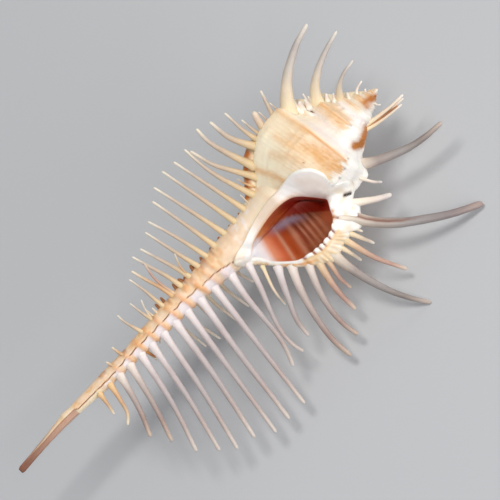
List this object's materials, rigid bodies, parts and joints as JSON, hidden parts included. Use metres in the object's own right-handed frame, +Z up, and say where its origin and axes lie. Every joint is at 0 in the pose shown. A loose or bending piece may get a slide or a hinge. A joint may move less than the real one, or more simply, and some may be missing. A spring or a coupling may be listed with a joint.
{
  "type": "murex shell",
  "caption": "Spiny murex sea shell with a long straight canal and three combs of spines, lying loose on its spine tips with its mouth up.",
  "frame": {"origin": "centre of the underside of the box round the shell as it lies on its spine tips", "axes": "+X along the shell from the canal's tip to the spire, +Z up, +Y towards the comb on the side away from the mouth"},
  "size_m": [0.1356, 0.061, 0.0414],
  "materials": {
    "shell": "satin"
  },
  "bodies": {
    "root": {"murex_shell": "shell"}
  },
  "joints": []
}
